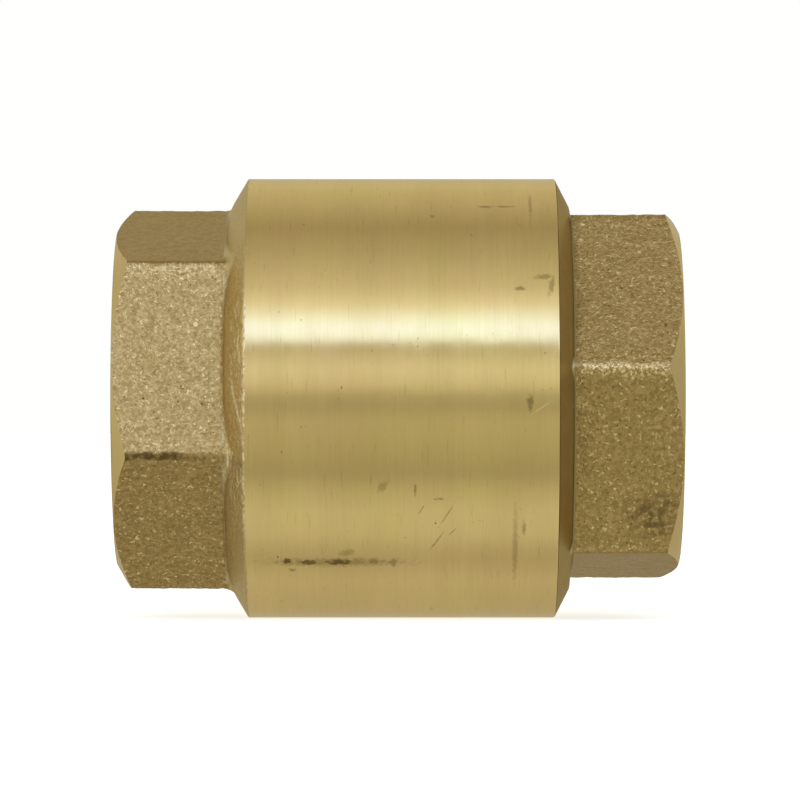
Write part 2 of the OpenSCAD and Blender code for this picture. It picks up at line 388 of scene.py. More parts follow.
def make_body():
    """Body: end face, hexagon, shoulder, barrel, and the bore back to the inlet thread."""
    angles = column_angles(BODY_CORNER)
    seed = np.array([3.1, 7.7, 1.9])
    flat_r = hex_radius(angles, BODY_CORNER)
    shape = Outline(angles)
    edge = 0.08
    shape.line((0, RELIEF_R), (0, END_FACE_R - edge), 4, MACHINED)
    rim_r = flat_r + skin(angles, CHAMFER_SLOPE * (flat_r - END_FACE_R), flat_r, seed)
    rim_x = CHAMFER_SLOPE * (rim_r - END_FACE_R)
    shape.line((edge * CHAMFER_SLOPE, END_FACE_R + edge), (rim_x, rim_r), 6, MACHINED)
    root_x = body_shoulder_x(flat_r) - BODY_ROOT
    forged_flats(shape, rim_x, root_x, flat_r, 46, seed)
    barrel_x = body_shoulder(shape, flat_r, seed)
    shape.row(barrel_x, BARREL_R, TURNED)
    shape.line((barrel_x + edge, BARREL_R), (JOINT_X - 2 * edge, BARREL_R), 12, TURNED)
    shape.row(JOINT_X - 2 * edge, BARREL_R, TURNED)
    shape.row(JOINT_X - edge, BARREL_R, TURNED)
    shape.row(JOINT_X - edge * 0.3, BARREL_R - edge * 0.3, MACHINED)
    inside = [
        (JOINT_X, BARREL_R - edge), (JOINT_X, O_RING_STEP_R), (O_RING_STEP_X, O_RING_STEP_R),
        (O_RING_STEP_X, SPIGOT_BORE_R), (SPIGOT_BORE_X, SPIGOT_BORE_R), (SPIGOT_BORE_X, CHAMBER_R),
        (CHAMBER_FLOOR_X, CHAMBER_R), (SEAT_FOOT_X, SEAT_FOOT_R), (SEAT_X, SEAT_LIP_R), (SEAT_X, PORT_R),
        (PORT_X, PORT_R), (PORT_X, RECESS_R), (RECESS_X, RECESS_R), (RECESS_X, RELIEF_R),
        (INLET_DEPTH, RELIEF_R),
    ]
    break_edges(shape, inside, INNER_EDGE)
    shape.thread(0, INLET_DEPTH, thread_wall, MACHINED, limit=inlet_mouth)
    body = shape.build("valve_body_brass")
    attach(body, "housing")
    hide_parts("valve_body")
    return body


def flange_x(r):
    """Where the face of the cap's flange lies along the flow at a radius."""
    return JOINT_X + np.interp(r, FLANGE_RADII, FLANGE_STEPS)


def make_cap():
    """Cap: flange, hexagon, end face, the outlet thread, and the bore back round its spigot."""
    angles = column_angles(CAP_CORNER)
    seed = np.array([11.3, 2.2, 5.6])
    flat_r = hex_radius(angles, CAP_CORNER)
    shape = Outline(angles)
    edge = 0.06
    shape.row(JOINT_X, FLANGE_R - edge, FLANGE)
    root_x = flange_x(flat_r)
    flange_rows = 12
    for i in range(flange_rows):
        r = FLANGE_R - (FLANGE_R - flat_r - CAP_ROOT) * i / flange_rows
        shape.row(flange_x(r), r, FLANGE)
    shape.bend((flange_x(flat_r + CAP_ROOT), flat_r + CAP_ROOT), (root_x, flat_r),
               (root_x + CAP_ROOT, flat_r), 4, FLANGE)
    rim_r = flat_r + skin(angles, LENGTH - CHAMFER_SLOPE * (flat_r - END_FACE_R), flat_r, seed)
    rim_x = LENGTH - CHAMFER_SLOPE * (rim_r - END_FACE_R)
    forged_flats(shape, root_x + CAP_ROOT, rim_x, flat_r, 48, seed)
    shape.line((rim_x, rim_r), (LENGTH - edge * CHAMFER_SLOPE, END_FACE_R + edge), 6, MACHINED)
    shape.line((LENGTH, END_FACE_R - edge), (LENGTH, RELIEF_R), 4, MACHINED)
    shape.thread(OUTLET_X, LENGTH, thread_wall, MACHINED, limit=outlet_mouth)
    inside = [
        (OUTLET_X, RELIEF_R), (THROAT_X, RELIEF_R), (THROAT_X, THROAT_R), (GUIDE_SEAT_X, PASSAGE_R),
        (GUIDE_SEAT_X, GUIDE_RECESS_R), (SPIGOT_X, GUIDE_RECESS_R), (SPIGOT_X, SPIGOT_R),
        (SPIGOT_END_X, SPIGOT_R), (SPIGOT_END_X, CHAMBER_R), (JOINT_X, CHAMBER_R),
    ]
    break_edges(shape, inside, INNER_EDGE)
    cap = shape.build("end_cap_brass")
    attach(cap, "housing")
    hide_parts("end_cap")
    return cap


# ------------------------------------------------ inner pieces

def ring_piece(name, node, body, corners, size, count=128):
    """A turned ring whose outline is a closed list of [x, r] corners, with its corners broken."""
    shape = Outline(column_angles(0, count, 0))
    loop = len(corners)
    for i, (x, r) in enumerate(corners):
        here = Vector((x, r))
        before = Vector(corners[i - 1]) - here
        after = Vector(corners[(i + 1) % loop]) - here
        start = here + before.normalized() * min(size, before.length / 3)
        end = here + after.normalized() * min(size, after.length / 3)
        shape.bend(start, here, end, 3, 0)
        shape.row(end.x, end.y, 0)
    ring = shape.build(name, sharp=50.0)
    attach(ring, body)
    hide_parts(node)
    return ring


def make_seals():
    """The round o-ring and the flat seal of the seat."""
    low, high = span("cap_o_ring")
    section = (high.x - low.x) / 2
    sides = 20
    shape = Outline(column_angles(0, 160, 0))
    for i in range(sides):
        turn = TURN * i / sides
        shape.row(low.x + section + section * math.cos(turn), high.z - section + section * math.sin(turn), 0)
    o_ring = shape.build("cap_o_ring_rubber", sharp=60.0)
    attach(o_ring, "housing")
    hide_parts("cap_o_ring")
    low, high = span("seat_seal")
    plate = [(low.x, SEAL_HOLE_R), (low.x, high.z), (high.x, high.z), (high.x, SEAL_HOLE_R)]
    seal = ring_piece("seat_seal_rubber", "seat_seal", "poppet", plate, size=0.25)
    return [o_ring, seal]


def make_poppet_rings():
    """The disc with its groove for the seal, and the washer that clamps the seal."""
    low, high = span("poppet_disc")
    floor_x = span("seat_seal")[1].x
    lip_x = floor_x - DISC_LIP_LEN
    disc = [
        (low.x, POPPET_BORE_R), (low.x, DISC_BOSS_R), (floor_x, DISC_BOSS_R), (floor_x, DISC_LIP_R),
        (lip_x, DISC_LIP_R), (lip_x, high.z), (high.x, high.z), (high.x, POPPET_BORE_R),
    ]
    low, high = span("seal_retainer")
    plate = [(low.x, POPPET_BORE_R), (low.x, high.z), (high.x, high.z), (high.x, POPPET_BORE_R)]
    return [
        ring_piece("poppet_disc_brass", "poppet_disc", "poppet", disc, size=0.25),
        ring_piece("seal_retainer_brass", "seal_retainer", "poppet", plate, size=0.3),
    ]


def make_washer():
    low, high = span("spring_washer")
    plate = [(low.x, WASHER_HOLE_R), (low.x, high.z), (high.x, high.z), (high.x, WASHER_HOLE_R)]
    return ring_piece("spring_washer_steel", "spring_washer", "housing", plate, size=0.12)


def stem_thread(phase):
    """Radius of the stem's M5 thread."""
    wave = np.abs(2 * phase - 1)
    return STEM_R - 0.49 * np.clip(1.25 * wave - 0.12, 0, 1)


def make_stem():
    """Stem: pilot, thread, collar and guide rod, from its front end to its back end."""
    low, high = span("poppet_stem")
    collar_x = span("poppet_disc")[1].x
    thread_end_x = collar_x - 1.0
    rod_x = collar_x + COLLAR_LEN
    edge = 0.5
    centre_r = 0.4
    thread_root_r = 2.1
    shape = Outline(column_angles(0, 72, 0))
    shape.row(low.x, 0, 0)
    shape.line((low.x, centre_r), (low.x, PILOT_R - edge), 2, 0)
    shape.bend((low.x, PILOT_R - edge), (low.x, PILOT_R), (low.x + edge, PILOT_R), 4, 0)
    shape.line((low.x + edge, PILOT_R), (STEM_THREAD_X, PILOT_R), 3, 0)
    shape.row(STEM_THREAD_X, PILOT_R, 0)
    shape.thread(STEM_THREAD_X, thread_end_x, stem_thread, 0, along=1, pitch=STEM_PITCH, rows=10)
    shape.row(thread_end_x, thread_root_r, 0)
    shape.line((thread_end_x, STEM_R), (collar_x, STEM_R), 2, 0)
    collar = [(collar_x, STEM_R), (collar_x, high.z), (rod_x, high.z), (rod_x, STEM_R)]
    break_edges(shape, collar, size=0.2, zone=0)
    shape.line((rod_x, STEM_R), (high.x - edge, STEM_R), 4, 0)
    shape.bend((high.x - edge, STEM_R), (high.x, STEM_R), (high.x, STEM_R - edge), 4, 0)
    shape.line((high.x, STEM_R - edge), (high.x, centre_r), 2, 0)
    shape.row(high.x, 0, 0)
    stem = shape.build("poppet_stem_brass", closed=False)
    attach(stem, "poppet")
    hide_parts("poppet_stem")
    return stem


def make_nut():
    """Hexagon nut, chamfered on both faces."""
    low, high = span("stem_nut")
    corner = math.radians(90)
    angles = column_angles(corner, 144, 0.5)
    flat_r = hex_radius(angles, corner, width=NUT_AF, rounding=0.15)
    shape = Outline(angles)
    top_r = 3.85
    mouth_r = 2.85
    mouth = 0.3
    drop = CHAMFER_SLOPE * np.maximum(flat_r - top_r, 0.05)
    shape.line((low.x, mouth_r), (low.x, top_r), 2, 0)
    shape.line((low.x, top_r), (low.x + drop, flat_r), 4, 0)
    shape.line((low.x + drop, flat_r), (high.x - drop, flat_r), 4, 0)
    shape.line((high.x - drop, flat_r), (high.x, top_r), 4, 0)
    shape.line((high.x, top_r), (high.x, mouth_r), 2, 0)
    shape.line((high.x, mouth_r), (high.x - mouth, POPPET_BORE_R), 2, 0)
    shape.line((high.x - mouth, POPPET_BORE_R), (low.x + mouth, POPPET_BORE_R), 3, 0)
    shape.line((low.x + mouth, POPPET_BORE_R), (low.x, mouth_r), 2, 0)
    nut = shape.build("stem_nut_steel", sharp=30.0)
    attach(nut, "poppet")
    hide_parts("stem_nut")
    return nut


def coil_height(turn, length):
    """Height of the wire's centre after a number of turns: closed, then open, then closed again."""
    closed = WIRE_D * 1.02
    open_turns = COIL_TURNS - 2 * CLOSED_TURNS
    pitch = (length - WIRE_D - 2 * CLOSED_TURNS * closed) / open_turns
    return (WIRE_D / 2 + closed * min(turn, CLOSED_TURNS)
            + pitch * max(0, min(turn - CLOSED_TURNS, open_turns))
            + closed * max(0, turn - CLOSED_TURNS - open_turns))


def make_spring():
    """Spring as one coiled tube."""
    low, high = span("spring")
    wire_r = WIRE_D / 2
    radius = high.z - wire_r
    length = high.x - low.x
    rings, sides = 420, 14
    points, faces = [], []
    for i in range(rings + 1):
        turn = COIL_TURNS * i / rings
        angle = TURN * turn
        height = low.x + coil_height(turn, length)
        for k in range(sides):
            around = TURN * k / sides
            r = radius + wire_r * math.cos(around)
            x = height + wire_r * math.sin(around)
            points.append((x * MM, r * math.cos(angle) * MM, r * math.sin(angle) * MM))
    for i in range(rings):
        for k in range(sides):
            a, b = i * sides + k, i * sides + (k + 1) % sides
            faces.append((a, b, b + sides, a + sides))
    mesh = bpy.data.meshes.new("spring_wire")
    ends = [tuple(range(sides))[::-1], tuple(rings * sides + k for k in range(sides))]
    mesh.from_pydata(points, [], faces + ends)
    for face in mesh.polygons:
        face.use_smooth = len(face.vertices) == 4
    spring = bpy.data.objects.new("spring_wire", mesh)
    bpy.context.scene.collection.objects.link(spring)
    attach(spring, "housing")
    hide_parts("spring")
    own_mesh(spring)
    return spring


def refined(name, node, body, bevel, segments):
    """A copy of a CAD node's mesh, cleaned of its triangles and with its edges rounded."""
    work = bmesh.new()
    work.from_mesh(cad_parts[node].data)
    bmesh.ops.remove_doubles(work, verts=work.verts, dist=1e-6)
    bmesh.ops.dissolve_limit(work, angle_limit=math.radians(1), verts=work.verts, edges=work.edges)
    edges = [e for e in work.edges if e.is_manifold and e.calc_face_angle() > math.radians(35)]
    bmesh.ops.bevel(work, geom=edges, offset=bevel * MM, segments=segments, profile=0.5,
                    affect="EDGES", clamp_overlap=True)
    for face in work.faces:
        face.smooth = True
    mesh = bpy.data.meshes.new(name)
    work.to_mesh(mesh)
    work.free()
    mesh.set_sharp_from_angle(angle=math.radians(50))
    made = bpy.data.objects.new(name, mesh)
    bpy.context.scene.collection.objects.link(made)
    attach(made, body)
    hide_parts(node)
    return made


# ------------------------------------------------ materials

class Nodes:
    """Short calls for building a node tree."""

    def __init__(self, tree):
        self.tree = tree
        tree.nodes.clear()

    def add(self, kind, *inputs, **settings):
        """A shader node. Positional inputs fill its sockets in order, and None leaves one as it is.

        Keywords set the node's own settings, or else the sockets of that name.
        """
        node = self.tree.nodes.new("ShaderNode" + kind)
        for key, value in settings.items():
            if hasattr(node, key):
                setattr(node, key, value)
            else:
                self.fill(node.inputs[key.replace("_", " ")], value)
        for socket, value in zip(node.inputs, inputs):
            if value is not None:
                self.fill(socket, value)
        return node

    def fill(self, socket, value):
        """Link a socket to another one, or set its value."""
        if isinstance(value, bpy.types.NodeSocket):
            self.tree.links.new(value, socket)
        else:
            socket.default_value = value

    def math(self, operation, a, b=0.0, c=0.0):
        return self.add("Math", a, b, c, operation=operation).outputs[0]

    def vector(self, operation, a, b):
        node = self.add("VectorMath", a, b, operation=operation)
        return node.outputs["Value" if operation in ("LENGTH", "DISTANCE") else "Vector"]

    def noise(self, vector, scale, detail=3.0, rough=0.5, distortion=0.0):
        node = self.add("TexNoise")
        self.fill(node.inputs["Vector"], vector)
        node.inputs["Scale"].default_value = scale
        node.inputs["Detail"].default_value = detail
        node.inputs["Roughness"].default_value = rough
        node.inputs["Distortion"].default_value = distortion
        return node.outputs["Fac"]

    def lathe_lines(self, point, radius, scale):
        """Rings cut by a lathe tool: noise that changes along the axis and with the radius, not round it."""
        node = self.add("TexNoise", noise_dimensions="4D")
        self.fill(node.inputs["Vector"], self.vector("MULTIPLY", point, Vector((scale, 0.10, 0.10))))
        self.fill(node.inputs["W"], self.math("MULTIPLY", radius, scale))
        node.inputs["Scale"].default_value = 1.0
        node.inputs["Detail"].default_value = 4.0
        node.inputs["Roughness"].default_value = 0.65
        return node.outputs[0]

    def noise_colour(self, vector, scale):
        node = self.add("TexNoise")
        self.fill(node.inputs["Vector"], vector)
        node.inputs["Scale"].default_value = scale
        return node.outputs["Color"]

    def cells(self, vector, scale):
        """Scattered points: the distance to the nearest, and a colour of its own for each."""
        node = self.add("TexVoronoi")
        self.fill(node.inputs["Vector"], vector)
        node.inputs["Scale"].default_value = scale
        return node.outputs["Distance"], node.outputs["Color"]

    def fade(self, value, low, high, out_low=0.0, out_high=1.0):
        """value from low to high, smoothly turned into out_low to out_high."""
        node = self.add("MapRange", value, low, high, out_low, out_high, interpolation_type="SMOOTHSTEP")
        return node.outputs[0]

    def mix(self, factor, a, b):
        """Colour a turned into colour b by a factor."""
        node = self.add("Mix", data_type="RGBA")
        self.fill(node.inputs["Factor"], factor)
        self.fill(node.inputs[6], a)
        self.fill(node.inputs[7], b)
        return node.outputs[2]

    def bump(self, height, depth, normal=None):
        """A bump of a height that goes from 0 to 1 over depth millimetres."""
        node = self.add("Bump")
        node.inputs["Strength"].default_value = 1.0
        node.inputs["Distance"].default_value = depth * MM
        self.fill(node.inputs["Height"], height)
        if normal is not None:
            self.fill(node.inputs["Normal"], normal)
        return node.outputs["Normal"]


def rgb(r, g, b):
    """A linear colour with full cover."""
    return (r, g, b, 1.0)


def new_material(name):
    """A material with its node helper, its shader and the point being shaded, in millimetres."""
    material = bpy.data.materials.new(name)
    material.use_nodes = True
    tree = Nodes(material.node_tree)
    shader = tree.add("BsdfPrincipled")
    output = tree.add("OutputMaterial")
    tree.tree.links.new(shader.outputs[0], output.inputs[0])
    point = tree.vector("SCALE", tree.add("TexCoord").outputs["Object"], None)
    point.node.inputs["Scale"].default_value = 1 / MM
    return material, tree, shader, point


class Surface:
    """Where a point is: along the flow, out from the axis, round it from the front, and unrolled."""

    def __init__(self, tree, point):
        split = tree.add("SeparateXYZ", point)
        self.x, y, self.z = split.outputs
        toward = tree.math("MULTIPLY", y, -1.0)
        self.radius = tree.vector("LENGTH", tree.vector("MULTIPLY", point, Vector((0, 1, 1))), None)
        self.angle = tree.math("ARCTAN2", self.z, toward)
        arc = tree.math("MULTIPLY", self.angle, BARREL_R)
        self.flat = tree.add("CombineXYZ", self.x, arc, 0.0).outputs[0]


def set_inputs(shader, **values):
    """Set constant values on a shader's sockets, named with _ for each space."""
    for key, value in values.items():
        shader.inputs[key.replace("_", " ")].default_value = value


# Dark grime for the forged skin's pits and its corner line; along the inlet hexagon's ridge it is also
# painted shade.
DIRT_AND_SHADE = rgb(0.10, 0.065, 0.022)
# Grime for the outlet hexagon's dark patch, and painted shade at the root of its upper face.
CAP_GRIME_AND_SHADE = rgb(0.15, 0.105, 0.04)
GRAZED_FORGING = rgb(1.0, 0.92, 0.76)       # tint of a rough brass surface seen at a grazing angle
GRAZED_TURNING = rgb(1.0, 0.95, 0.82)       # and of a turned one
GRAZED_FLANGE = rgb(0.72, 0.62, 0.42)       # and of the tarnished flange

# Forged faces: the angle that each faces, up from the front, in degrees, and how bright its skin is, a
# painted shade for how the light falls on that face
BODY_FACE_SHADES = ((73, 0.86), (13, 1.16), (-47, 0.93))
CAP_FACE_SHADES = ((39, 1.06), (-81, 0.86))
BODY_CALM_FACE = 73             # the smoother face of the inlet hexagon, near its top
CAP_CALM_FACE = -81             # and of the outlet hexagon, below
BODY_WORN_HIGHLIT_CORNER = BODY_CORNER - 0.03     # middle of the strip that is rubbed bright and given a painted highlight, in radians
CAP_WORN_HIGHLIT_CORNER = CAP_CORNER - 0.012
# Stretches of the hexagons' sides along the flow
BODY_FLATS = (0, SHOULDER_FACE_X - BODY_ROOT)
CAP_FLATS = (JOINT_X + 2.0, LENGTH)

# Marks on the unrolled barrel: distance from its inlet edge, height round it from the front, half width,
# half height and tilt in degrees, and strength. Those of the shoulder lie before that edge.
STAINS = (
    (8.3, -16.95, 6.3, 0.60, 0, 0.40),
    (3.9, -16.85, 0.45, 0.40, 0, 0.95),
    (4.4, -18.05, 0.32, 0.24, 0, 0.50),
    (5.9, -17.00, 0.95, 0.42, 0, 0.90),
    (8.7, -16.95, 1.30, 0.46, 0, 0.95),
    (9.4, -15.70, 0.75, 0.42, 25, 0.35),
    (10.4, -16.90, 1.0, 0.34, 0, 0.50),
    (11.9, -16.90, 0.65, 0.42, 0, 0.60),
    (13.7, -17.00, 0.50, 0.50, 0, 0.50),
)
SMUDGES = (
    (24.9, -15.0, 0.26, 4.40, 0, 0.35),
    (25.7, -12.7, 0.20, 0.75, 0, 0.50),
    (26.2, -0.35, 0.28, 0.80, 0, 0.60),
    (27.5, 11.75, 0.95, 0.27, 8, 0.50),
    (28.2, 10.90, 0.27, 1.00, -8, 0.50),
    (25.3, 10.50, 0.45, 0.24, 0, 0.60),
    (22.3, 21.35, 0.65, 0.28, 0, 0.50),
    (24.0, 21.40, 0.90, 0.20, 0, 0.45),
    (26.4, 21.80, 0.15, 2.20, 0, 0.40),
    (17.3, 19.70, 0.24, 0.24, 0, 0.40),
    (12.7, -8.33, 0.34, 0.65, -35, 0.38),
    (15.7, -8.54, 0.13, 0.60, 0, 0.55),
    (17.9, -9.55, 0.48, 0.13, 0, 0.50),
    (18.6, -11.25, 1.20, 0.08, 61, 0.50),
    (17.7, -14.2, 1.20, 0.09, 60, 0.50),
    (19.1, -13.15, 0.65, 0.07, 52, 0.45),
    (16.3, -10.6, 0.55, 0.08, 62, 0.45),
)
# A scratch on the barrel, painted bright as its highlight.
GLINTING_SCRATCH = (27.25, -0.84, 1.15, 0.055, 33, 0.8)
# Scratch marks on the shoulder, painted bright as their highlight.
SHOULDER_SCRATCHES_AND_GLINTS = (
    (-0.69, -0.77, 0.09, 2.50, 13, 1.0),
    (-1.00, 1.10, 0.06, 0.90, 9, 0.9),
    (-1.50, -6.40, 0.08, 0.95, 0, 0.9),
)
# Specks strewn over the whole barrel: how many to a millimetre, size, share left out, and strength
SPECKS = ((0.50, 0.075, 0.55, 0.75), (0.95, 0.090, 0.62, 0.65), (1.70, 0.120, 0.60, 0.45))


def ragged_edge(tree, where):
    """Noise that eats into the outline of a mark."""
    return tree.math("MULTIPLY_ADD", tree.noise(where.flat, 2.4, 5.0, 0.72), 2.8, -1.4)


def mark(tree, where, ragged, x, arc, wide, tall, tilt, strength):
    """A ragged spot on the unrolled barrel: its strength in the middle and 0 outside."""
    near = tree.add("Mapping", where.flat, (BARREL_X + x, arc, 0), (0, 0, math.radians(tilt)),
                    (wide, tall, 1), vector_type="TEXTURE")
    size = tree.math("ADD", tree.vector("LENGTH", near.outputs[0], None), ragged)
    return tree.fade(size, 1.35, 0.40, 0.0, strength)


def strongest(tree, where, ragged, marks):
    """Several marks as one mask."""
    mask = mark(tree, where, ragged, *marks[0])
    for one in marks[1:]:
        mask = tree.math("MAXIMUM", mask, mark(tree, where, ragged, *one))
    return mask


def painted_face_shade(tree, angle, faces):
    """How bright the forged skin is at an angle round the axis, painted lighter or darker by how the light
    falls on each face: 1 on a face that isn't listed.
    """
    tone = 1.0
    for middle, bright in faces:
        on_face = tree.math("COMPARE", angle, math.radians(middle), TURN / 12)
        tone = tree.math("MULTIPLY_ADD", on_face, bright - 1.0, tone)
    return tone


def forged_brass(name, faces, calm_face, highlit_worn_corner, wear_and_highlight, flats, marks_and_painted_light):
    """Shot-blasted forging: soft grain with dark pits, painted glints for its small bright facets, painted
    shade that makes each hexagon face lighter or darker, and a corner rubbed bright with a painted highlight
    along it.
    """
    material, tree, shader, point = new_material(name)
    where = Surface(tree, point)
    calm = tree.math("COMPARE", where.angle, math.radians(calm_face), TURN / 12)
    grain = tree.noise(point, 2.5, 5.0, 0.62, 0.5)
    fine = tree.noise(point, 3.7, 3.0, 0.6)
    patches = tree.noise(point, 0.55, 3.0)
    light = tree.fade(grain, 0.32, 0.68)
    light = tree.math("MULTIPLY_ADD", calm, tree.math("MULTIPLY_ADD", light, -0.7, 0.35), light)
    colour = tree.mix(light, rgb(0.345, 0.240, 0.090), rgb(0.59, 0.425, 0.185))
    colour = tree.mix(tree.fade(patches, 0.35, 0.65, 0.0, 0.35), colour, rgb(0.41, 0.28, 0.105))
    # Painted shade: the scale makes each listed hexagon face lighter or darker by how the light falls on it.
    face_shaded = tree.vector("SCALE", colour, None)
    tree.fill(face_shaded.node.inputs["Scale"], painted_face_shade(tree, where.angle, faces))
    # Painted glints: small bright specks that stand in for the light the blasted facets catch.
    painted_glint = tree.fade(tree.noise(point, 3.0, 2.0, 0.55, 0.6), 0.59, 0.70, 0.0, 0.9)
    painted_glint = tree.math("MULTIPLY", painted_glint, tree.math("MULTIPLY_ADD", calm, -0.9, 1.0))
    colour = tree.mix(painted_glint, face_shaded, rgb(0.95, 0.76, 0.40))
    pit = tree.cells(tree.vector("ADD", point, tree.noise_colour(point, 1.6)), 1.7)[0]
    pits = tree.math("MULTIPLY", tree.fade(pit, 0.24, 0.08), tree.fade(patches, 0.40, 0.58, 0.30, 0.70))
    pits = tree.math("MULTIPLY", pits, tree.math("MULTIPLY_ADD", calm, -0.7, 1.0))
    colour = tree.mix(pits, colour, DIRT_AND_SHADE)
    # A corner rubbed bright, and with it a painted highlight on the rounded edge.
    off = tree.math("ABSOLUTE", tree.math("SUBTRACT", where.angle, highlit_worn_corner))
    worn_and_highlit = tree.fade(tree.math("MULTIPLY_ADD", patches, 0.05, off), 0.075, 0.038)
    on_flats = tree.math("COMPARE", where.x, (flats[0] + flats[1]) / 2, (flats[1] - flats[0]) / 2)
    worn_and_highlit = tree.math("MULTIPLY", worn_and_highlit, on_flats)
    worn_and_highlit = tree.math("MULTIPLY", worn_and_highlit, tree.fade(fine, 0.47, 0.61, 0.0, wear_and_highlight))
    colour = tree.mix(worn_and_highlit, colour, rgb(1.0, 0.80, 0.42))
    colour = marks_and_painted_light(tree, point, colour)
    set_inputs(shader, Metallic=1.0, Specular_Tint=GRAZED_FORGING)
    tree.fill(shader.inputs["Base Color"], colour)
    tree.fill(shader.inputs["Roughness"], tree.fade(grain, 0.35, 0.7, 0.36, 0.26))
    height = tree.math("ADD", tree.math("MULTIPLY", grain, 0.7), tree.math("MULTIPLY", fine, 0.6))
    height = tree.math("MULTIPLY", height, tree.math("MULTIPLY_ADD", calm, -0.7, 1.0))
    tree.fill(shader.inputs["Normal"], tree.bump(height, 0.13))
    return material


def body_marks_and_painted_light(tree, point, colour):
    """Painted light on the shoulder: it is lightened, and more so in its root against the shade that falls
    there; its scratch marks and streaks in front and its beaded edge by the barrel are painted bright as
    their glints. Also a grimy line along the hexagon's lower corner, partly painted shade.
    """
    where = Surface(tree, point)
    # Painted light: the shoulder's colour is lightened, against the shade the hexagon's side keeps on it.
    shoulder = tree.fade(where.x, SHOULDER_FACE_X - 0.1, SHOULDER_FACE_X + 0.3, 0.0, 0.55)
    colour = tree.mix(shoulder, colour, rgb(0.80, 0.665, 0.355))
    # Painted light in the concave root of the shoulder, lightening the shade that gathers there.
    from_root = tree.math("ABSOLUTE", tree.math("SUBTRACT", where.x, SHOULDER_FACE_X + 0.12))
    root = tree.fade(from_root, 0.36, 0.22, 0.0, 0.55)
    root = tree.math("MULTIPLY", root, tree.fade(where.radius, 18.2, 17.8))
    colour = tree.mix(root, colour, rgb(0.74, 0.69, 0.46))
    # Scratch streaks in front of the cone, painted bright as their highlight.
    front = tree.fade(tree.math("ABSOLUTE", tree.math("SUBTRACT", where.angle, -0.08)), 0.68, 0.40)
    on_cone = tree.fade(where.x, SHOULDER_FACE_X + 0.4, SHOULDER_FACE_X + 0.8)
    slanted = tree.add("Mapping", point, (0, 0, 0), (0, 0.12, 0), (3.6, 0.7, 0.7)).outputs[0]
    streaks = tree.fade(tree.noise(slanted, 1.0, 4.0, 0.6), 0.55, 0.62, 0.0, 0.9)
    scratched_and_glinting = tree.math("MULTIPLY", tree.math("MULTIPLY", front, on_cone), streaks)
    colour = tree.mix(scratched_and_glinting, colour, rgb(1.0, 0.88, 0.55))
    scratches_and_glints = strongest(tree, where, ragged_edge(tree, where), SHOULDER_SCRATCHES_AND_GLINTS)
    colour = tree.mix(scratches_and_glints, colour, rgb(1.0, 0.95, 0.70))
    # Painted glints: bright specks along the shoulder's edge by the barrel, where it catches the light.
    painted_edge_glints = tree.fade(where.x, BARREL_X - 0.34, BARREL_X - 0.10)
    glint_beads = tree.fade(tree.noise(point, 1.9, 2.0), 0.42, 0.56)
    painted_edge_glints = tree.math("MULTIPLY", tree.math("MULTIPLY", painted_edge_glints, front), glint_beads)
    colour = tree.mix(painted_edge_glints, colour, rgb(1.0, 0.85, 0.50))
    # A grimy line along the hexagon's lower corner, full strength over its first few millimetres; its
    # fainter stretch beyond is painted shade that dims the rounded ridge's bright reflection.
    corner = BODY_CORNER - TURN / 6
    off = tree.math("ABSOLUTE", tree.math("SUBTRACT", where.angle, corner))
    wobble = tree.math("MULTIPLY", tree.noise(point, 0.9, 3.0), 0.03)
    line = tree.fade(tree.math("ADD", off, wobble), 0.045, 0.028)
    along = tree.math("MULTIPLY", tree.fade(where.x, 1.0, 1.5), tree.fade(where.x, 8.4, 5.6, 0.22, 1.0))
    broken = tree.fade(tree.noise(point, 1.1, 2.0), 0.40, 0.56, 0.45, 0.85)
    mask = tree.math("MULTIPLY", tree.math("MULTIPLY", line, along), broken)
    return tree.mix(mask, colour, DIRT_AND_SHADE)


def cap_grime_and_painted_shade(tree, point, colour):
    """A dark patch low on the outlet hexagon, near its end, and a shade at the root of its upper face."""
    spot = Vector((LENGTH - 3.1, -13.2, -11.0))
    away = tree.vector("DISTANCE", point, spot)
    wobble = tree.math("MULTIPLY", tree.noise(point, 0.55, 3.0), 4.0)
    mask = tree.fade(tree.math("ADD", away, wobble), 5.2, 2.6, 0.0, 0.75)
    fine = tree.fade(tree.noise(point, 1.6, 3.0), 0.35, 0.6)
    where = Surface(tree, point)
    # Painted shade at the root of the upper face, next to the flange.
    root = tree.math("MULTIPLY", tree.fade(where.x, JOINT_X + 2.2, JOINT_X + 1.6, 0.0, 0.3),
                     tree.fade(where.angle, 0.05, 0.25))
    colour = tree.mix(root, colour, CAP_GRIME_AND_SHADE)
    return tree.mix(tree.math("MULTIPLY", mask, fine), colour, CAP_GRIME_AND_SHADE)


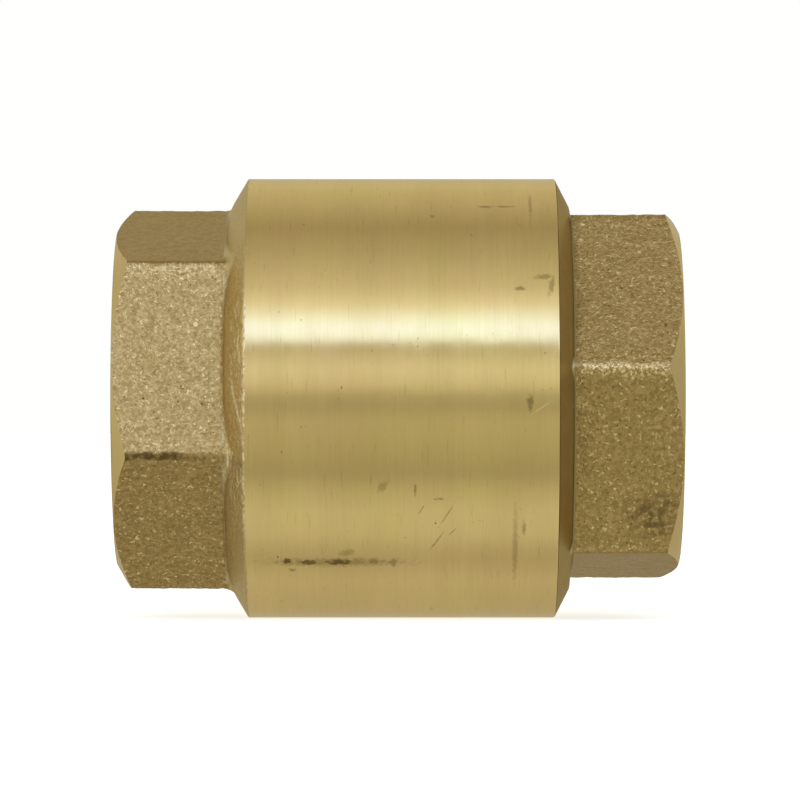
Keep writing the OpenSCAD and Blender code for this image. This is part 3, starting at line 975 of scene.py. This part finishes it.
def turned_brass(name, lines=1.0, marks=None):
    """Lathe-turned brass: fine circumferential lines, a thin uneven tarnishing and slight smears."""
    material, tree, shader, point = new_material(name)
    fine = tree.lathe_lines(point, Surface(tree, point).radius, 9.0)
    bands = tree.noise(tree.vector("MULTIPLY", point, Vector((0.28, 0.035, 0.035))), 1.0, 4.0, 0.6)
    cloud = tree.noise(point, 0.11, 4.0, 0.6)
    smear = tree.noise(tree.vector("MULTIPLY", point, Vector((0.5, 0.14, 0.14))), 1.0, 4.0, 0.7)
    colour = tree.mix(tree.fade(cloud, 0.32, 0.68), rgb(0.82, 0.65, 0.28), rgb(0.83, 0.63, 0.30))
    colour = tree.mix(tree.fade(bands, 0.34, 0.66, 0.0, 0.18), colour, rgb(0.58, 0.44, 0.17))
    colour = tree.mix(tree.fade(fine, 0.42, 0.7, 0.0, 0.16 * lines), colour, rgb(0.60, 0.46, 0.19))
    if marks is not None:
        colour = marks(tree, point, colour)
    tree.fill(shader.inputs["Base Color"], colour)
    tree.fill(shader.inputs["Roughness"], tree.fade(smear, 0.3, 0.7, 0.20, 0.27))
    set_inputs(shader, Metallic=1.0, Specular_Tint=GRAZED_TURNING)
    set_inputs(shader, Anisotropic=0.85, Anisotropic_Rotation=0.25)
    tangent = tree.add("Tangent", direction_type="RADIAL", axis="X")
    tree.fill(shader.inputs["Tangent"], tangent.outputs[0])
    swell = tree.noise(point, 0.17, 2.0)
    tree.fill(shader.inputs["Normal"], tree.bump(fine, 0.005 * lines, tree.bump(swell, 0.03)))
    return material


def barrel_marks(tree, point, colour):
    """Handling marks on the barrel: a grimy streak low on the inlet side, smudges, specks, and a scratch
    painted bright as its highlight.
    """
    where = Surface(tree, point)
    ragged = ragged_edge(tree, where)
    stain = strongest(tree, where, ragged, STAINS)
    colour = tree.mix(stain, colour, rgb(0.17, 0.115, 0.035))
    smudge = strongest(tree, where, ragged, SMUDGES)
    colour = tree.mix(smudge, colour, rgb(0.21, 0.15, 0.05))
    scored = tree.noise(tree.vector("MULTIPLY", where.flat, Vector((3.4, 0.30, 1))), 1.0, 3.0, 0.6)
    colour = tree.mix(tree.fade(scored, 0.60, 0.72, 0.0, 0.30), colour, rgb(0.46, 0.34, 0.12))
    handled = tree.fade(tree.noise(point, 0.13, 2.0), 0.42, 0.56, 0.35, 1.0)
    for scale, size, share, strength in SPECKS:
        near, own = tree.cells(tree.vector("MULTIPLY", point, Vector((1.0, 0.8, 0.8))), scale)
        pick = tree.add("SeparateXYZ", own).outputs[0]
        reach = tree.math("MULTIPLY_ADD", ragged, 0.03, near)
        speck = tree.fade(reach, size, size * 0.45, 0.0, strength)
        speck = tree.math("MULTIPLY", speck, tree.fade(pick, share, share + 0.15))
        colour = tree.mix(tree.math("MULTIPLY", speck, handled), colour, rgb(0.22, 0.155, 0.05))
    # Painted highlight: the scratch is painted bright.
    scratch_glint = mark(tree, where, ragged, *GLINTING_SCRATCH)
    return tree.mix(scratch_glint, colour, rgb(1.0, 0.88, 0.55))


def flange_brass(name):
    """Turned flange of the cap: smooth and browner, with painted shade that darkens its top and its root."""
    material, tree, shader, point = new_material(name)
    where = Surface(tree, point)
    fine = tree.lathe_lines(point, where.radius, 7.0)
    cloud = tree.noise(point, 0.5, 4.0, 0.6)
    colour = tree.mix(tree.fade(cloud, 0.35, 0.65), rgb(0.60, 0.49, 0.255), rgb(0.565, 0.46, 0.235))
    # Painted shade: the flange is darker towards its top.
    painted_top_shade = tree.fade(where.z, 13.5, 19.0, 0.0, 0.24)
    colour = tree.mix(painted_top_shade, colour, rgb(0.24, 0.165, 0.065))
    # Painted shade in the flange's root, where it meets the hexagon.
    root = tree.fade(where.x, JOINT_X + 1.30, JOINT_X + 1.42, 0.0, 0.55)
    colour = tree.mix(root, colour, rgb(0.16, 0.135, 0.055))
    set_inputs(shader, Metallic=1.0, Specular_Tint=GRAZED_FLANGE)
    tree.fill(shader.inputs["Base Color"], colour)
    tree.fill(shader.inputs["Roughness"], tree.fade(fine, 0.35, 0.65, 0.30, 0.40))
    tree.fill(shader.inputs["Normal"], tree.bump(fine, 0.008))
    return material


def steel(name):
    """Stainless steel with drawn or stamped lines."""
    material, tree, shader, point = new_material(name)
    fine = tree.noise(tree.vector("MULTIPLY", point, Vector((6.0, 1.2, 1.2))), 1.0, 4.0, 0.6)
    colour = tree.mix(tree.fade(fine, 0.3, 0.7), rgb(0.55, 0.55, 0.56), rgb(0.70, 0.70, 0.71))
    shader.inputs["Metallic"].default_value = 1.0
    tree.fill(shader.inputs["Base Color"], colour)
    tree.fill(shader.inputs["Roughness"], tree.fade(fine, 0.3, 0.7, 0.22, 0.34))
    tree.fill(shader.inputs["Normal"], tree.bump(fine, 0.003))
    return material


def nylon(name):
    """Natural moulded nylon: creamy, a little translucent, faintly textured."""
    material, tree, shader, point = new_material(name)
    cloud = tree.noise(point, 0.35, 3.0)
    fine = tree.noise(point, 5.0, 3.0, 0.6)
    colour = tree.mix(tree.fade(cloud, 0.3, 0.7), rgb(0.92, 0.86, 0.73), rgb(0.96, 0.91, 0.80))
    tree.fill(shader.inputs["Base Color"], colour)
    tree.fill(shader.inputs["Roughness"], tree.fade(fine, 0.3, 0.7, 0.38, 0.5))
    tree.fill(shader.inputs["Normal"], tree.bump(fine, 0.01))
    set_inputs(shader, Subsurface_Weight=0.15, Subsurface_Scale=0.0008)
    return material


def rubber(name):
    """Black nitrile rubber with a faint bloom."""
    material, tree, shader, point = new_material(name)
    bloom = tree.noise(point, 0.8, 4.0, 0.6)
    fine = tree.noise(point, 7.0, 2.0)
    colour = tree.mix(tree.fade(bloom, 0.4, 0.75), rgb(0.018, 0.018, 0.019), rgb(0.05, 0.05, 0.05))
    tree.fill(shader.inputs["Base Color"], colour)
    tree.fill(shader.inputs["Roughness"], tree.fade(bloom, 0.3, 0.7, 0.5, 0.66))
    tree.fill(shader.inputs["Normal"], tree.bump(fine, 0.008))
    return material


def give(objects, *materials):
    """Fill the material slots of some pieces."""
    for made in objects:
        for material in materials:
            made.data.materials.append(material)


# ------------------------------------------------ stage, light and camera

def make_floor():
    """A plain pale floor under the barrel."""
    half = 3.0
    low = cad_low.z
    mesh = bpy.data.meshes.new("floor")
    corners = [(-half, -half, low), (half, -half, low), (half, half, low), (-half, half, low)]
    mesh.from_pydata(corners, [], [(0, 1, 2, 3)])
    floor = bpy.data.objects.new("floor", mesh)
    bpy.context.scene.collection.objects.link(floor)
    material = bpy.data.materials.new("floor_white")
    material.use_nodes = True
    tree = Nodes(material.node_tree)
    grey = tree.add("BsdfDiffuse", rgb(0.8, 0.8, 0.79))
    glow = tree.add("Emission", rgb(1.0, 1.0, 0.99), 0.72)
    both = tree.add("AddShader", grey.outputs[0], glow.outputs[0])
    tree.add("OutputMaterial", both.outputs[0])
    mesh.materials.append(material)
    floor.visible_glossy = False
    floor.visible_transmission = False


# Studio brightness by height angle round the flow axis: 0 is the camera's side, 90 overhead, 180 behind.
STUDIO = (
    (-180, (0.47, 0.45, 0.38)), (-150, (0.51, 0.48, 0.38)), (-110, (0.60, 0.57, 0.47)),
    (-92, (0.51, 0.48, 0.38)), (-84, (0.58, 0.56, 0.45)), (-76, (0.67, 0.66, 0.54)),
    (-62, (0.68, 0.68, 0.55)), (-48, (0.57, 0.55, 0.43)), (-40, (0.44, 0.42, 0.33)),
    (-32, (0.49, 0.47, 0.35)), (-24, (0.53, 0.51, 0.39)), (-12, (0.57, 0.55, 0.43)),
    (-4, (0.45, 0.43, 0.34)), (1, (0.47, 0.46, 0.38)), (6, (0.74, 0.72, 0.62)),
    (14, (0.84, 0.85, 0.81)), (19, (0.80, 0.80, 0.75)), (25, (0.56, 0.54, 0.44)),
    (28.5, (0.58, 0.56, 0.46)), (31, (1.26, 1.52, 2.20)), (37, (1.30, 1.64, 2.70)),
    (43, (1.16, 1.38, 1.80)), (49, (0.96, 0.98, 1.00)), (60, (0.72, 0.70, 0.63)),
    (80, (0.53, 0.51, 0.42)), (101, (0.41, 0.37, 0.28)), (122, (0.55, 0.52, 0.42)),
    (146, (0.64, 0.61, 0.47)), (180, (0.47, 0.45, 0.38)),
)
# Light from beyond the inlet end, from beyond the outlet end, and straight along the axis from either
INLET_END_LIGHT = rgb(0.66, 0.64, 0.54)
OUTLET_END_LIGHT = rgb(0.345, 0.34, 0.285)
FRONTAL_LIGHT = rgb(0.95, 0.94, 0.90)


def make_studio():
    """Soft studio light as a smooth tunnel round the flow axis, evened out towards its two ends."""
    world = bpy.data.worlds.new("studio")
    world.use_nodes = True
    bpy.context.scene.world = world
    tree = Nodes(world.node_tree)
    way = tree.add("TexCoord").outputs["Generated"]
    split = tree.add("SeparateXYZ", way)
    height = tree.math("ARCTAN2", split.outputs[2], tree.math("MULTIPLY", split.outputs[1], -1.0))
    ramp = tree.add("ValToRGB", tree.math("MULTIPLY_ADD", height, 1 / TURN, 0.5))
    stops = ramp.color_ramp.elements
    for i, (angle, colour) in enumerate(STUDIO):
        at = angle / 360 + 0.5
        if i == 0 or i == len(STUDIO) - 1:
            stop = stops[0 if i == 0 else len(stops) - 1]
            stop.position = at
        else:
            stop = stops.new(at)
        stop.color = rgb(*colour)
    side = tree.fade(split.outputs[0], -0.5, 0.5)
    ends = tree.mix(side, INLET_END_LIGHT, OUTLET_END_LIGHT)
    endwise = tree.math("ABSOLUTE", split.outputs[0])
    ends = tree.mix(tree.fade(endwise, 0.95, 0.999), ends, FRONTAL_LIGHT)
    light = tree.mix(tree.fade(endwise, 0.72, 0.97), ramp.outputs[0], ends)
    lit = tree.add("Background", light, 1.0)
    backdrop = tree.add("Background", rgb(1.0, 1.0, 0.99), 1.0)
    seen = tree.add("LightPath").outputs["Is Camera Ray"]
    both = tree.add("MixShader", seen, lit.outputs[0], backdrop.outputs[0])
    tree.add("OutputWorld", both.outputs[0])


def make_camera():
    """Level with the flow axis and square to it, far enough back for the slight perspective of the view."""
    distance = 0.55
    shown = 1.43 * LENGTH * MM
    aim_x = (LENGTH / 2 + 0.2) * MM
    aim_z = -0.16 * MM
    camera = bpy.data.cameras.new("camera")
    camera.sensor_width = 36.0
    camera.lens = camera.sensor_width * distance / shown
    camera.clip_start = 0.01
    camera.clip_end = 20.0
    viewer = bpy.data.objects.new("camera", camera)
    viewer.location = (aim_x, -distance, aim_z)
    viewer.rotation_euler = (math.radians(90), 0, 0)
    bpy.context.scene.collection.objects.link(viewer)
    bpy.context.scene.camera = viewer


# ------------------------------------------------ assembly

make_camera()
make_studio()
make_floor()
bpy.context.scene.view_settings.view_transform = "Standard"

machined = turned_brass("machined_brass", lines=0.8)
barrel = turned_brass("barrel_brass", marks=barrel_marks)
forged_body = forged_brass("forged_body_brass", BODY_FACE_SHADES, BODY_CALM_FACE, BODY_WORN_HIGHLIT_CORNER,
                           wear_and_highlight=0.65, flats=BODY_FLATS, marks_and_painted_light=body_marks_and_painted_light)
give([make_body()], forged_body, barrel, machined)
flange = flange_brass("flange_brass")
forged_cap = forged_brass("forged_cap_brass", CAP_FACE_SHADES, CAP_CALM_FACE, CAP_WORN_HIGHLIT_CORNER,
                          wear_and_highlight=1.0, flats=CAP_FLATS, marks_and_painted_light=cap_grime_and_painted_shade)
give([make_cap()], forged_cap, machined, machined, flange)
give([*make_poppet_rings(), make_stem()], machined)
give(make_seals(), rubber("nitrile_rubber"))
stainless = steel("stainless_steel")
give([make_washer(), make_nut(), make_spring()], stainless)
circlip = refined("inlet_circlip_steel", "inlet_circlip", "housing", bevel=0.12, segments=2)
give([circlip], stainless)
guides = [
    refined("inlet_guide_nylon", "inlet_guide", "housing", bevel=0.2, segments=3),
    refined("outlet_guide_nylon", "outlet_guide", "housing", bevel=0.25, segments=3),
]
give(guides, nylon("natural_nylon"))
